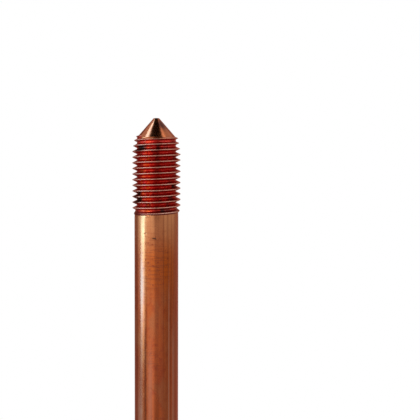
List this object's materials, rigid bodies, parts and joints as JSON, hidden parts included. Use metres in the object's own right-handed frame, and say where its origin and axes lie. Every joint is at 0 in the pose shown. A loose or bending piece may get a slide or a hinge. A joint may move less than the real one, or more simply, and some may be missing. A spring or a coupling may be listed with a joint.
{
  "type": "earth rod",
  "caption": "Round copper-coloured earth rod, pointed at one end and flat at the other, with a rolled right-hand thread at each end, driven into soil to earth an installation.",
  "frame": {"origin": "centre of the flat end's face", "axes": "+Z along the rod from the flat end to the point"},
  "size_m": [0.0156, 0.0156, 1.2],
  "materials": {
    "copper_skin": "drawn copper, satin along the rod, with redder rolled threads"
  },
  "bodies": {
    "root": {"earth_rod": "copper_skin"}
  },
  "joints": []
}
